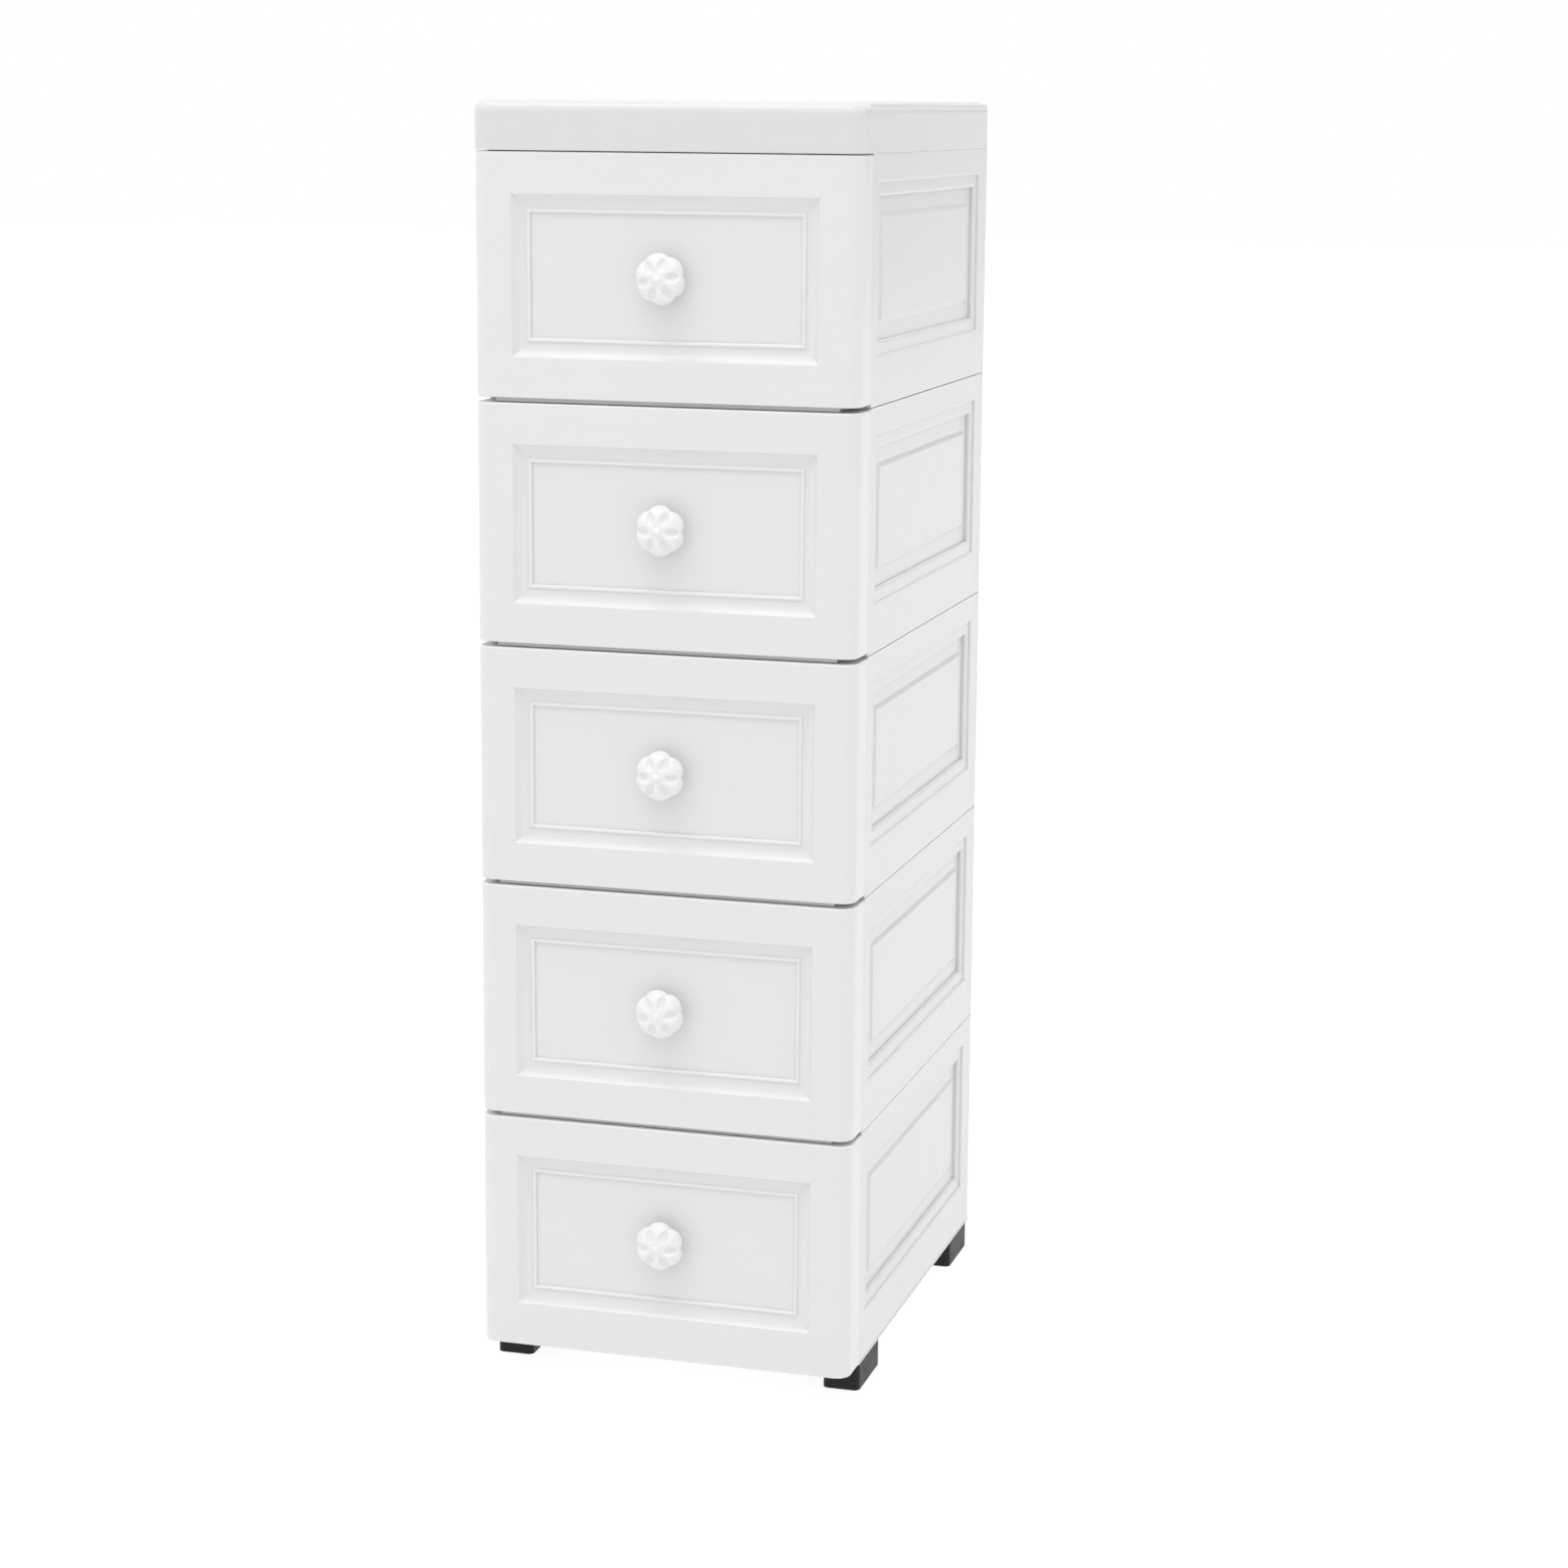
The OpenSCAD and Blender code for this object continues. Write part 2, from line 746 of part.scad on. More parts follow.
module base_plate() {
    l = tower_d - carcass_y;
    rib_w = tower_w - 2 * base_rib_in;
    color(white) on_floor() translate([0, 0, foot_h]) {
        difference() {
            union() {
                linear_extrude(base_lip)
                    translate([0, tower_d]) mirror([0, 1]) rounded_nose(tower_w, l, back_corner_r);
                linear_extrude(base_lip + shelf_t) shelf_plan();
            }
            for (side = [-1, 1], end = [0, 1])
                foot_place(side, end) translate([0, foot_peg_y, -cut])
                    cylinder(h = base_lip + shelf_t + 2 * cut, r = foot_peg_r + peg_clear);
        }
        peg_places() translate([0, 0, base_lip + shelf_t / 2])
            cylinder(h = shelf_t / 2 + peg_rise, r = peg_r);
        translate([0, carcass_y + base_rib_in / 2, base_lip / 2])
            rib_lattice(rib_w, l - base_rib_in, rib_h + base_lip / 2, 4, 2);
    }
}

// Outer shape of the cover, taken in by a wall and run down past its open bottom
module cover_shape(inset = 0, sink = 0) {
    w = tower_w + 2 * cover_over - 2 * inset;
    l = tower_d + 2 * cover_over - 2 * inset;
    h = cover_h - inset + sink;
    e = cover_edge_r - inset;
    translate([0, tower_d / 2, -sink]) intersection() {
        translate([0, 0, -2 * e]) soft_block(w, l, h + 2 * e, front_corner_r - inset, e);
        translate([-w / 2, -l / 2, 0]) cube([w, l, h]);
    }
}

module top_cover() {
    z0 = shelf_t + seat;
    top_z = cover_h - cover_wall / 2;
    color(white) at_tier(0) {
        difference() {
            union() {
                difference() {
                    cover_shape();
                    cover_shape(cover_wall, cut);
                }
                peg_places() translate([0, 0, z0])
                    cylinder(h = top_z - z0, r = peg_r + side_skin);
                translate([0, carcass_y, top_z])
                    rib_lattice(tower_w - cover_wall, shelf_l, top_z - z0, cover_ribs, 2);
            }
            peg_places() cylinder(h = shelf_t + peg_rise + seat, r = peg_r + peg_clear);
        }
    }
}

// ---- Feet ----

// Middle of a foot: side is -1 or 1, and end is 0 at the front and 1 at the rear
module foot_place(side, end) {
    y = end == 0 ? carcass_y + foot_l / 2 : tower_d - foot_back - foot_l / 2;
    translate([side * (tower_w - foot_w) / 2, y, 0]) children();
}

module foot_body() {
    difference() {
        linear_extrude(foot_h) rounded_plate(foot_w, foot_l, foot_corner_r);
        translate([0, 0, foot_wall]) linear_extrude(foot_h)
            rounded_plate(foot_w - 2 * foot_wall, foot_l - 2 * foot_wall, foot_corner_r / 2);
    }
    translate([0, foot_peg_y, 0])
        cylinder(h = foot_h + shelf_t + base_lip / 2, r = foot_peg_r);
    translate([-rib_t / 2, -foot_l / 2 + foot_wall / 2, 0]) cube([rib_t, foot_l - foot_wall, foot_h]);
}

module foot(side, end) {
    color(black) on_floor() foot_place(side, end) foot_body();
}

// ---- Placing ----

top_cover();
base_plate();
foot(-1, 0);  // foot_front_left
foot(1, 0);  // foot_front_right
foot(-1, 1);  // foot_rear_left
foot(1, 1);  // foot_rear_right
for (k = [1:tiers]) {
    side_panel_left(k);
    side_panel_right(k);
    back_panel(k);
    shelf(k);
    drawer_front(k);
    drawer_box(k);
    knob(k);
    knob_screw(k);
}
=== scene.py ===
"""Looks of the plastic drawer tower.

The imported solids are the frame. The drawer fronts and the flower knobs are modelled here and stand
for their solids; every other solid is shown as it is, with its finish.
Lengths are in metres. X runs across, the drawers open towards -Y, and Z is up.
"""

import json
from math import asin, cos, pi, radians, sin, sqrt

import bmesh
import bpy
from mathutils import Matrix, Vector

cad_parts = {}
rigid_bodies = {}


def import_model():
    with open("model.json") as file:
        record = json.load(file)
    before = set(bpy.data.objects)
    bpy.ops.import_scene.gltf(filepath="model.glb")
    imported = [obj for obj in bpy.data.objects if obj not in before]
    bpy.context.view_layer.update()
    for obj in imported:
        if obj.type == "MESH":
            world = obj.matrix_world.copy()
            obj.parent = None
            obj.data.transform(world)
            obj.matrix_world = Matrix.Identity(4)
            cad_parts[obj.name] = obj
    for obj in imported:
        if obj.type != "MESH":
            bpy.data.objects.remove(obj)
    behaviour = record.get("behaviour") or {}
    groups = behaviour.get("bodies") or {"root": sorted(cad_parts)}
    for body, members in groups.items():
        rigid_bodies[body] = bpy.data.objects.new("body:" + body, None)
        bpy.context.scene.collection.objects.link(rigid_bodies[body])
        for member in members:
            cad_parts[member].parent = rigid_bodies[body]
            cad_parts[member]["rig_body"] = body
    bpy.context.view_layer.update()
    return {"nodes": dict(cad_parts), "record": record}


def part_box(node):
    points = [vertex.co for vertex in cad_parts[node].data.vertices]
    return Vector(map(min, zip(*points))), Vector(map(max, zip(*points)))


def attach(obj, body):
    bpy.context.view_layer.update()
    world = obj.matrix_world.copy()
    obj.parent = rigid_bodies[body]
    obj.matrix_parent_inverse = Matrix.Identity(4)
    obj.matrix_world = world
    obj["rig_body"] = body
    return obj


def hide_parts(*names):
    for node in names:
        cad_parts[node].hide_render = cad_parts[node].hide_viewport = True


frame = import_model()
nodes = frame["nodes"]
TIERS = sum(name.startswith("drawer_front_") for name in nodes)

# Drawer front; its depths are measured from its face
FRONT_CORNER_R = 0.010
FRONT_EDGE_R = 0.0012
FRONT_WALL = 0.0024
FRONT_FLAT_AREA = 0.01  # only the flat of the face is larger than this
FIRST_INSET = 0.004  # taken before the inner outline is scaled to the border
LEAST_STEP = 1e-5  # an inset can't turn back where the bead's foot does
BORDER = 0.0265
COVE_W = 0.0095
COVE_DEPTH = 0.0044
COVE_R = (COVE_W**2 + COVE_DEPTH**2) / (2 * COVE_DEPTH)
BEAD_R = 0.0015
BEAD_AXIS = 0.0049
FIELD_DEPTH = 0.0052
SOFT_EDGE = 0.0004
SCREW_HOLE_R = 0.0021
WEB_X = 0.1194
WEB_T = 0.0016
WEB_DEPTH = 0.0252
PIN_X = 0.0710
PIN_Z = 0.0259
PIN_R = 0.0025
PIN_END = 0.0099

# Stem of the knob; its heights are measured from its foot
STEM_R = 0.0085
STEM_RIM_H = 0.0012
STEM_CHAMFER = 0.0004
STEM_STEPS = 6
NECK_START = 0.0016
NECK_RISE = 0.0042
NECK_R = 0.0056
FLARE_START = 0.0058
FLARE_RISE = 0.0075
FLARE_W = 0.0052

# Head of the knob; sizes are half-widths outwards, across and through
KNOB_LENGTH = 0.021
PETALS = 6
PETAL = (0.0080, 0.0088, 0.0060)
PETAL_RING_R = 0.0092
PETAL_RISE = 0.0122
PETAL_DROOP = radians(32)
DOME = (0.0145, 0.0145, 0.0070)
VALLEY = (0.0066, 0.0032, 0.0026)
VALLEY_RING_R = 0.0103
VALLEY_RISE = 0.0181
VALLEY_DROOP = radians(24)
BUD_R = 0.0032
BUD_SHORT = 0.0003  # the bud's tip ends this much short of the knob's length
KNOB_TURN = radians(10)
KNOB_VOXEL = 0.00035

# Finishes; scales are in lumps to the metre
NOISE_LOW = 0.3
NOISE_HIGH = 0.7
CLOUD_SCALE = 9
CLOUD_SHADE = 0.985  # the clouds darken towards this share of the colour
POLISH_SCALE = 60
POLISH_LOW = 0.9  # as shares of the roughness
POLISH_HIGH = 1.15
WAVE_SCALE = 14
WAVE_STRENGTH = 0.5
SKIN_SCALE = 700
SKIN_STRENGTH = 0.3
LIGHT_REACH = (1.0, 0.98, 0.96)  # red, green and blue, as shares of the depth
STEEL_SCALE = 1500


# ---- Working on a piece ----


def only(piece):
    """Makes the piece the only one selected."""
    bpy.ops.object.select_all(action="DESELECT")
    piece.select_set(True)
    bpy.context.view_layer.objects.active = piece


def open_edit(piece):
    only(piece)
    bpy.ops.object.mode_set(mode="EDIT")


def close_edit():
    bpy.ops.object.mode_set(mode="OBJECT")


def pick(piece, kind, test):
    """In edit mode, selects the EDGE or FACE parts that pass a test."""
    bpy.ops.mesh.select_mode(type=kind)
    bpy.ops.mesh.select_all(action="DESELECT")
    shape = bmesh.from_edit_mesh(piece.data)
    for part in shape.edges if kind == "EDGE" else shape.faces:
        if test(part):
            part.select_set(True)
    bmesh.update_edit_mesh(piece.data)


def at(value, target, slack=1e-5):
    return abs(value - target) < slack


def apply_modifier(piece, kind, **settings):
    only(piece)
    modifier = piece.modifiers.new(kind.lower(), kind)
    for name, value in settings.items():
        setattr(modifier, name, value)
    bpy.ops.object.modifier_apply(modifier=modifier.name)


def place_in_mesh(piece):
    """Puts the piece's place into its mesh, so that its object sits at the origin."""
    only(piece)
    bpy.ops.object.transform_apply(location=True, rotation=True, scale=True)


def join(pieces, name):
    bpy.ops.object.select_all(action="DESELECT")
    for piece in pieces:
        piece.select_set(True)
    bpy.context.view_layer.objects.active = pieces[0]
    bpy.ops.object.join()
    whole = bpy.context.object
    whole.name = name
    return whole


def copy_to(piece, name, place):
    """A copy with its own mesh, moved by the matrix place."""
    twin = piece.copy()
    twin.data = piece.data.copy()
    twin.name = name
    bpy.context.scene.collection.objects.link(twin)
    twin.matrix_world = place
    place_in_mesh(twin)
    return twin


def add_block(low, high):
    """A block between two opposite corners."""
    size = Vector(high) - Vector(low)
    middle = (Vector(high) + Vector(low)) / 2
    bpy.ops.mesh.primitive_cube_add(size=1, location=middle, scale=size)
    block = bpy.context.object
    place_in_mesh(block)
    return block


def add_rod(place, radius, near, far):
    """A round rod along Y through place, from near to far."""
    bpy.ops.mesh.primitive_cylinder_add(
        vertices=32,
        radius=radius,
        depth=far - near,
        location=(place[0], (near + far) / 2, place[2]),
        rotation=(pi / 2, 0, 0),
    )
    rod = bpy.context.object
    place_in_mesh(rod)
    return rod


def combine(piece, tool, operation):
    """Joins the tool to the piece or takes it away, and then removes the tool."""
    apply_modifier(piece, "BOOLEAN", operation=operation, object=tool, solver="EXACT")
    bpy.data.objects.remove(tool)


def shade_by_angle(piece):
    only(piece)
    bpy.ops.object.shade_smooth_by_angle(angle=radians(40))
    apply_modifier(piece, "WEIGHTED_NORMAL", keep_sharp=True)


# ---- Finishes ----


def new_material(name, colour, roughness, **sockets):
    """Returns a material, its node tree and its shader."""
    material = bpy.data.materials.new(name)
    material.use_nodes = True
    tree = material.node_tree
    shader = tree.nodes["Principled BSDF"]
    shader.inputs["Base Color"].default_value = (*colour, 1)
    shader.inputs["Roughness"].default_value = roughness
    for socket, value in sockets.items():
        shader.inputs[socket.replace("_", " ")].default_value = value
    return material, tree, shader


def add_node(tree, kind, **settings):
    """Adds a node; each setting goes to the input or the property of that name."""
    node = tree.nodes.new(kind)
    for name, value in settings.items():
        if name in node.inputs:
            node.inputs[name].default_value = value
        else:
            setattr(node, name, value)
    return node


def object_noise(tree, scale, detail=2.0):
    """Noise over the piece's own place in the tower."""
    place = add_node(tree, "ShaderNodeTexCoord")
    noise = add_node(tree, "ShaderNodeTexNoise", Scale=scale, Detail=detail)
    tree.links.new(place.outputs["Object"], noise.inputs["Vector"])
    return noise.outputs["Fac"]


def vary(tree, source, low, high):
    """Maps noise to a range."""
    spread = add_node(tree, "ShaderNodeMapRange")
    spread.inputs["From Min"].default_value = NOISE_LOW
    spread.inputs["From Max"].default_value = NOISE_HIGH
    spread.inputs["To Min"].default_value = low
    spread.inputs["To Max"].default_value = high
    tree.links.new(source, spread.inputs["Value"])
    return spread.outputs["Result"]


def bump_from(tree, height, distance, strength, under):
    """Bumps of the given height over the normal under them."""
    bump = add_node(tree, "ShaderNodeBump", Distance=distance, Strength=strength)
    tree.links.new(height, bump.inputs["Height"])
    tree.links.new(under, bump.inputs["Normal"])
    return bump.outputs["Normal"]


def moulded_plastic(name, colour, roughness, grain, waves, depth=0.0, edge_r=0.0004, ior=1.49):
    """Injection-moulded plastic: rounded arrises, slow sink waves, a fine skin, faint clouding.

    Light passes in and out again within the depth.
    """
    material, tree, shader = new_material(name, colour, roughness, IOR=ior)
    if depth:
        shader.inputs["Subsurface Weight"].default_value = 1.0
        shader.inputs["Subsurface Radius"].default_value = LIGHT_REACH
        shader.inputs["Subsurface Scale"].default_value = depth
    clouds = object_noise(tree, CLOUD_SCALE, detail=3)
    shade = add_node(tree, "ShaderNodeMix", data_type="RGBA")
    shade.inputs["A"].default_value = (*[CLOUD_SHADE * c for c in colour], 1)
    shade.inputs["B"].default_value = (*colour, 1)
    tree.links.new(clouds, shade.inputs["Factor"])
    tree.links.new(shade.outputs["Result"], shader.inputs["Base Color"])
    polish = object_noise(tree, POLISH_SCALE, detail=4)
    gloss = vary(tree, polish, POLISH_LOW * roughness, POLISH_HIGH * roughness)
    tree.links.new(gloss, shader.inputs["Roughness"])
    arris = add_node(tree, "ShaderNodeBevel", samples=4)
    arris.inputs["Radius"].default_value = edge_r
    swell = object_noise(tree, WAVE_SCALE, detail=0)
    sink = bump_from(tree, swell, waves, WAVE_STRENGTH, arris.outputs["Normal"])
    pores = object_noise(tree, SKIN_SCALE, detail=0)
    skin = bump_from(tree, pores, grain, SKIN_STRENGTH, sink)
    tree.links.new(skin, shader.inputs["Normal"])
    return material


def zinc_steel():
    """Plated steel of the screws."""
    material, tree, shader = new_material("screw_steel", (0.62, 0.62, 0.64), 0.3, Metallic=1.0)
    gloss = vary(tree, object_noise(tree, STEEL_SCALE), 0.22, 0.42)
    tree.links.new(gloss, shader.inputs["Roughness"])
    return material


FINISHES = {
    "white_front": moulded_plastic(
        "front_white", (0.746, 0.746, 0.746), 0.20, grain=5e-6, waves=0.0002, depth=0.001
    ),
    # This grey is the shell's plastic, made darker than the fronts' as painted shade on the sides
    # and the cover.
    "white_shell": moulded_plastic(
        "shell_white", (0.695, 0.695, 0.695), 0.21, grain=5e-6, waves=0.00005, depth=0.001
    ),
    "white_inner": moulded_plastic(
        "inner_white", (0.70, 0.70, 0.695), 0.38, grain=2e-5, waves=0.0002, depth=0.001
    ),
    # This white is the knobs' plastic, made lighter than the fronts' as painted light on the knobs'
    # tops.
    "knob_white": moulded_plastic(
        "knob_white", (0.80, 0.80, 0.80), 0.18, grain=5e-6, waves=0.00005, depth=0.001
    ),
    "black_foot": moulded_plastic(
        "foot_black", (0.006, 0.006, 0.0065), 0.45, grain=2e-5, waves=0.0001, edge_r=0.0006, ior=1.36
    ),
    "screw_steel": zinc_steel(),
}


def dress(piece, finish):
    piece.data.materials.clear()
    piece.data.materials.append(finish)


def dress_solids():
    """Gives every solid the finish of its slot."""
    for row in frame["record"]["subparts"]:
        solid = nodes[row["node"]]
        for slot in solid.material_slots:
            slot.material = FINISHES[row["material_slot"]]


def stand_for(piece, node, slot):
    """Shows the piece in the node's place, on the node's body and in the slot's finish."""
    dress(piece, FINISHES[slot])
    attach(piece, nodes[node]["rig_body"])
    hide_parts(node)


# ---- Drawer front ----


def front_height():
    low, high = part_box("drawer_front_1")
    return high.z - low.z


def cove_points(steps=10):
    """How far in and how deep the cove runs, from its outer edge."""
    points = []
    for i in range(1, steps + 1):
        across = COVE_W * i / steps
        depth = COVE_DEPTH - COVE_R + sqrt(COVE_R**2 - (COVE_W - across) ** 2)
        points.append((across, depth))
    return points


def bead_points(steps=8):
    """The half-round bead, from the cove's floor over to the field."""
    start = asin((BEAD_AXIS - COVE_DEPTH) / BEAD_R)
    end = pi + asin((FIELD_DEPTH - BEAD_AXIS) / BEAD_R)
    points = []
    for i in range(steps + 1):
        turn = start + (end - start) * i / steps
        points.append((COVE_W + BEAD_R * (1 - cos(turn)), BEAD_AXIS - BEAD_R * sin(turn)))
    return points


def round_front(front, low, high):
    """Rounds the upright corners and the level edges, and opens the back."""
    pick(front, "EDGE", lambda e: all(at(v.co.y, low.y) for v in e.verts)
         and at(e.verts[0].co.x, e.verts[1].co.x))
    bpy.ops.mesh.bevel(offset=FRONT_CORNER_R, segments=12, affect="EDGES")
    rims = (low.z, high.z)
    pick(front, "EDGE", lambda e: any(all(at(v.co.z, z) for v in e.verts) for z in rims)
         and not all(at(v.co.y, high.y) for v in e.verts))
    bpy.ops.mesh.bevel(offset=FRONT_EDGE_R, segments=5, affect="EDGES")
    pick(front, "FACE", lambda f: f.normal.y > 0.9)
    bpy.ops.mesh.delete(type="ONLY_FACE")


def sink_field(front, low, high, drop):
    """Sinks the flat of the face inside its border, down the cove and over the bead."""
    pick(front, "FACE", lambda f: f.normal.y < -0.999 and f.calc_area() > FRONT_FLAT_AREA)
    bpy.ops.mesh.inset(thickness=FIRST_INSET, depth=0)
    half_w = (high.x - low.x) / 2
    half_h = (high.z - low.z) / 2
    flat_w = half_w - FRONT_CORNER_R - FIRST_INSET
    flat_h = half_h - FRONT_EDGE_R - FIRST_INSET
    shares = ((half_w - BORDER) / flat_w, 1, (half_h - drop / 2 - BORDER) / flat_h)
    bpy.ops.transform.resize(value=shares, center_override=(low + high) / 2)
    bpy.ops.transform.translate(value=(0, 0, drop / 2))
    across, depth = 0.0, 0.0
    for next_across, next_depth in cove_points() + bead_points():
        step = max(next_across - across, LEAST_STEP)
        bpy.ops.mesh.inset(thickness=step, depth=depth - next_depth)
        across, depth = across + step, next_depth


def mould_front(name, low, high, drop=0.0):
    """Hollow front: round upright corners, soft edges, a mitred cove, a bead and a sunk field.

    drop is how much further its lower border reaches than the upper one.
    """
    front = add_block(low, high)
    front.name = name
    open_edit(front)
    round_front(front, low, high)
    sink_field(front, low, high, drop)
    close_edit()
    apply_modifier(front, "SOLIDIFY", thickness=FRONT_WALL, offset=-1, use_even_offset=True)
    apply_modifier(
        front, "BEVEL", width=SOFT_EDGE, segments=2, limit_method="ANGLE", angle_limit=radians(30)
    )
    even_low = low + Vector((0, 0, drop))
    screw_hole = add_rod((even_low + high) / 2, SCREW_HOLE_R, low.y, high.y)
    combine(front, screw_hole, "DIFFERENCE")
    for inner in inner_parts(even_low, high):
        combine(front, inner, "UNION")
    shade_by_angle(front)
    return front


def inner_parts(low, high):
    """The level webs inside the turned sides, and the pins that hold the box."""
    middle = (low + high) / 2
    third = (high.z - low.z) / 3
    half_wall = FRONT_WALL / 2
    near = low.y + half_wall
    far = low.y + WEB_DEPTH
    parts = []
    for side in (-1, 1):
        outer = side * (high.x - half_wall)
        left, right = sorted((side * WEB_X, outer))
        for level in (-third, 0, third):
            bottom = middle.z + level - WEB_T / 2
            web = add_block((left, near, bottom), (right, far, bottom + WEB_T))
            open_edit(web)
            pick(web, "EDGE", lambda e: all(at(v.co.x, outer) and at(v.co.y, near) for v in e.verts))
            bpy.ops.mesh.bevel(offset=FRONT_CORNER_R - half_wall, segments=6, affect="EDGES")
            close_edit()
            parts.append(web)
    for x in (-PIN_X, PIN_X):
        for z in (-PIN_Z, PIN_Z):
            place = middle + Vector((x, 0, z))
            pin = add_rod(place, PIN_R, low.y + FIELD_DEPTH + half_wall, low.y + PIN_END)
            parts.append(pin)
    return parts


def make_fronts():
    """The fronts but the last are copies of the first; the last has a deeper lower border."""
    low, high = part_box("drawer_front_1")
    fronts = [mould_front("front_shell_1", low, high)]
    for k in range(2, TIERS):
        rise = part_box(f"drawer_front_{k}")[0].z - low.z
        fronts.append(copy_to(fronts[0], f"front_shell_{k}", Matrix.Translation((0, 0, rise))))
    last_low, last_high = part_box(f"drawer_front_{TIERS}")
    drop = last_high.z - last_low.z - front_height()
    fronts.append(mould_front(f"front_shell_{TIERS}", last_low, last_high, drop))
    for k, front in enumerate(fronts, start=1):
        stand_for(front, f"drawer_front_{k}", "white_front")


# ---- Knob ----


def stem_profile():
    """Radius and height up the knob's stem: its rim, its neck and the flare under the petals."""
    rim_r = STEM_R - STEM_CHAMFER
    turns = [pi / 2 * i / STEM_STEPS for i in range(1, STEM_STEPS + 1)]
    profile = [(STEM_R, STEM_RIM_H), (rim_r, NECK_START)]
    for turn in turns:
        radius = rim_r - (rim_r - NECK_R) * sin(turn)
        profile.append((radius, NECK_START + NECK_RISE * (1 - cos(turn))))
    for turn in turns:
        radius = NECK_R + FLARE_W * (1 - cos(turn))
        profile.append((radius, FLARE_START + FLARE_RISE * sin(turn)))
    return profile


def turn_stem():
    """The knob's stem, drawn up from a circle."""
    bpy.ops.mesh.primitive_circle_add(vertices=64, radius=STEM_R, fill_type="NGON")
    stem = bpy.context.object
    open_edit(stem)
    bpy.ops.mesh.select_all(action="SELECT")
    radius, height = STEM_R, 0.0
    for next_radius, next_height in stem_profile():
        bpy.ops.mesh.extrude_region_move(
            TRANSFORM_OT_translate={"value": (0, 0, next_height - height)}
        )
        share = next_radius / radius
        bpy.ops.transform.resize(value=(share, share, 1), center_override=(0, 0, next_height))
        radius, height = next_radius, next_height
    bpy.ops.mesh.select_all(action="SELECT")
    bpy.ops.mesh.normals_make_consistent(inside=False)
    close_edit()
    return stem


def add_lump(place, size, turn=0.0, droop=0.0):
    """An egg-shaped lump: place is its middle, and size its three half-widths."""
    bpy.ops.mesh.primitive_uv_sphere_add(
        segments=40, ring_count=20, radius=1, location=place, rotation=(0, droop, turn), scale=size
    )
    lump = bpy.context.object
    place_in_mesh(lump)
    return lump


def lump_ring(size, radius, height, droop, shift=0.0):
    """Lumps on a ring, one to a petal; shift is in petals."""
    lumps = []
    for i in range(PETALS):
        turn = pi / 2 + 2 * pi * (i + shift) / PETALS
        place = Vector((radius * cos(turn), radius * sin(turn), height))
        lumps.append(add_lump(place, size, turn, droop))
    return lumps


def mould_knob():
    """Flower knob standing on its foot at the origin, with its axis up."""
    stem = turn_stem()
    petals = lump_ring(PETAL, PETAL_RING_R, PETAL_RISE, PETAL_DROOP)
    dome = add_lump((0, 0, PETAL_RISE), DOME)
    bud = add_lump((0, 0, KNOB_LENGTH - BUD_R - BUD_SHORT), (BUD_R, BUD_R, BUD_R))
    knob = join([stem, *petals, dome, bud], "flower_knob")
    apply_modifier(knob, "REMESH", mode="VOXEL", voxel_size=KNOB_VOXEL)
    valleys = lump_ring(VALLEY, VALLEY_RING_R, VALLEY_RISE, VALLEY_DROOP, shift=0.5)
    combine(knob, join(valleys, "valley_blades"), "DIFFERENCE")
    apply_modifier(knob, "REMESH", mode="VOXEL", voxel_size=KNOB_VOXEL)
    apply_modifier(knob, "SMOOTH", factor=0.5, iterations=16)
    only(knob)
    bpy.ops.object.shade_smooth()
    return knob


def make_knobs():
    """A knob for each front; every third one, from the first, is turned a little further."""
    knob = mould_knob()
    for k in range(1, TIERS + 1):
        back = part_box(f"knob_{k}")[1].y
        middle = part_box(f"drawer_front_{k}")[1].z - front_height() / 2
        extra = KNOB_TURN if k % 3 == 1 else 0.0
        place = (
            Matrix.Translation((0, back, middle))
            @ Matrix.Rotation(pi / 2, 4, "X")
            @ Matrix.Rotation(extra, 4, "Z")
        )
        stand_for(copy_to(knob, f"flower_knob_{k}", place), f"knob_{k}", "knob_white")
    bpy.data.objects.remove(knob)


# ---- Setting ----

CAMERA_AT = Vector((0.684678, -2.283433, 0.856570))
CAMERA_YAW = 0.27783
CAMERA_DROP = 0.19542
CAMERA_ROLL = 0.00791
CAMERA_LENS = 79.119  # mm
CAMERA_SENSOR = 36  # mm
CAMERA_REACH = 50
# Each step of the sky: the sine of the height above the horizon, and the glow there
SKY_STEPS = ((0.0, 1.0), (0.052, 1.0), (0.062, 0.30), (0.10, 0.42), (0.24, 1.06), (1.0, 1.16))
SHEET_GREY = (0.15, 0.15, 0.15)
SHEET_ROUGHNESS = 0.9
FLOOR_SIZE = (40, 40)
FLOOR_GLOW = 0.88
FLAG_AT = (5.2, 12, 2.6)
FLAG_SIZE = (3.6, 5.2)
FLAG_GLOW = 0.2
KEY_AT = (-0.3, -1.8, 4.7)
KEY_AIM = (0, 0, 0.5)
KEY_SIZE = (3.6, 2.2)
KEY_POWER = 56


def add_camera():
    data = bpy.data.cameras.new("camera")
    data.sensor_width = CAMERA_SENSOR
    data.lens = CAMERA_LENS
    data.clip_end = CAMERA_REACH
    camera = bpy.data.objects.new("camera", data)
    bpy.context.scene.collection.objects.link(camera)
    aim = (
        Matrix.Rotation(CAMERA_YAW, 4, "Z")
        @ Matrix.Rotation(pi / 2 - CAMERA_DROP, 4, "X")
        @ Matrix.Rotation(CAMERA_ROLL, 4, "Z")
    )
    camera.matrix_world = Matrix.Translation(CAMERA_AT) @ aim
    bpy.context.scene.camera = camera


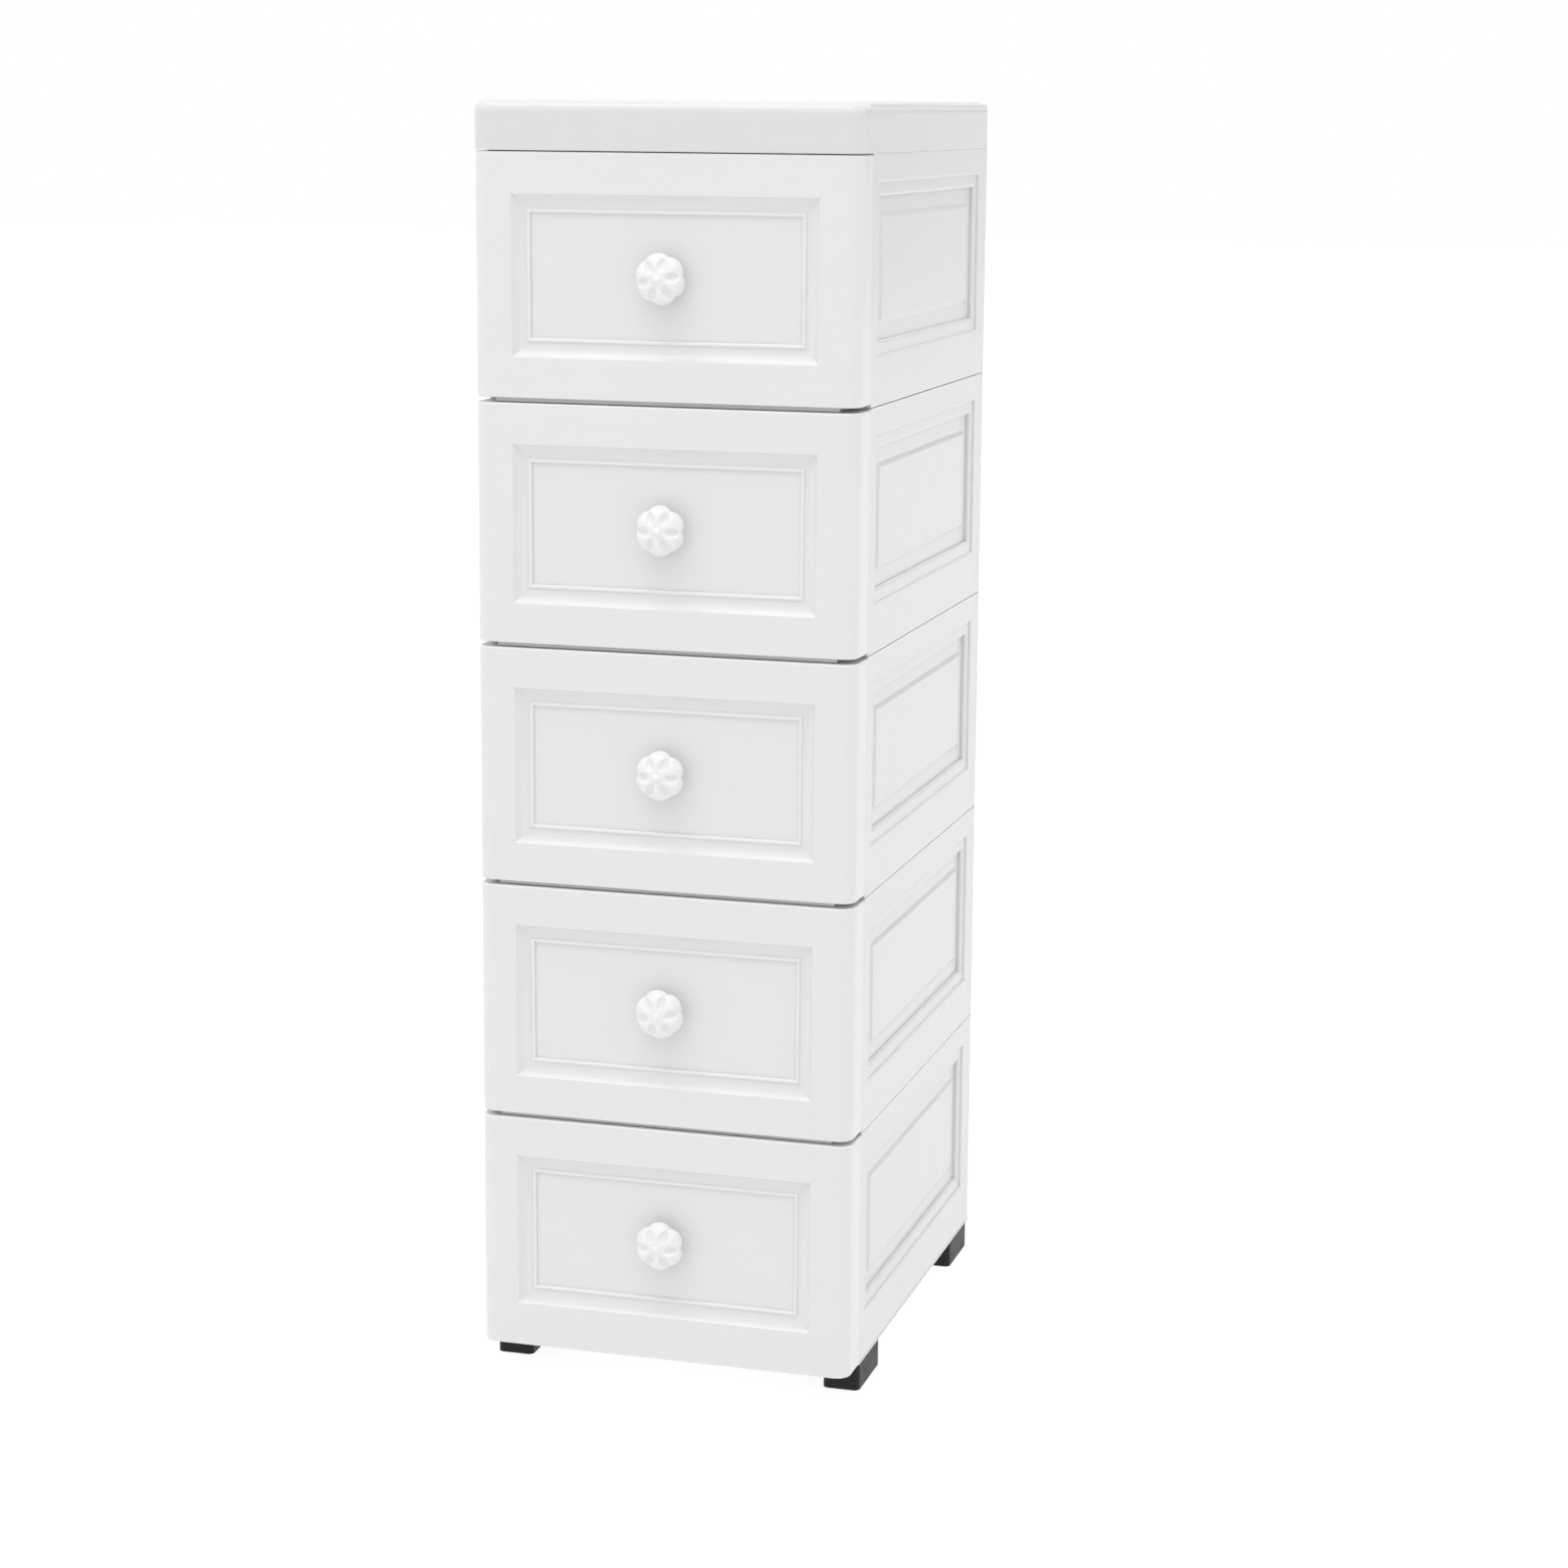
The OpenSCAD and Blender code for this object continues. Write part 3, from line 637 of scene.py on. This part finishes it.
def add_softbox(name, place, target, size, power):
    data = bpy.data.lights.new(name, "AREA")
    data.shape = "RECTANGLE"
    data.size, data.size_y = size
    data.energy = power
    light = bpy.data.objects.new(name, data)
    bpy.context.scene.collection.objects.link(light)
    light.location = place
    light.rotation_euler = (Vector(target) - Vector(place)).to_track_quat("-Z", "Y").to_euler()


def add_glow_sheet(name, size, place, turn, glow):
    """A matt sheet of the stage that glows evenly."""
    bpy.ops.mesh.primitive_plane_add(size=1, location=place, rotation=turn)
    sheet = bpy.context.object
    sheet.name = name
    sheet.scale = (*size, 1)
    place_in_mesh(sheet)
    material, _, shader = new_material(name + "_sheet", SHEET_GREY, SHEET_ROUGHNESS)
    shader.inputs["Emission Color"].default_value = (1, 1, 1, 1)
    shader.inputs["Emission Strength"].default_value = glow
    dress(sheet, material)


def add_sky():
    """A bright room with one dim band a little above the horizon."""
    world = bpy.data.worlds.new("studio")
    bpy.context.scene.world = world
    world.use_nodes = True
    tree = world.node_tree
    way = add_node(tree, "ShaderNodeTexCoord")
    rise = add_node(tree, "ShaderNodeSeparateXYZ")
    ramp = add_node(tree, "ShaderNodeValToRGB")
    while len(ramp.color_ramp.elements) < len(SKY_STEPS):
        ramp.color_ramp.elements.new(0.5)
    for stop, (height, glow) in zip(ramp.color_ramp.elements, SKY_STEPS):
        stop.position = height
        stop.color = (glow, glow, glow, 1)
    tree.links.new(way.outputs["Generated"], rise.inputs["Vector"])
    tree.links.new(rise.outputs["Z"], ramp.inputs["Fac"])
    tree.links.new(ramp.outputs["Color"], tree.nodes["Background"].inputs["Color"])


def add_studio():
    """A bright room with a glowing floor, a wide softbox above, and a dim flag to one side."""
    add_sky()
    bpy.ops.object.select_all(action="DESELECT")
    add_glow_sheet("floor", FLOOR_SIZE, (0, 0, 0), (0, 0, 0), FLOOR_GLOW)
    add_glow_sheet("flag", FLAG_SIZE, FLAG_AT, (pi / 2, 0, 0), FLAG_GLOW)
    add_softbox("key_softbox", KEY_AT, KEY_AIM, KEY_SIZE, KEY_POWER)
    view = bpy.context.scene.view_settings
    view.view_transform = "Standard"
    view.look = "None"
    view.exposure = 0
    view.gamma = 1


dress_solids()
make_fronts()
make_knobs()
add_studio()
add_camera()
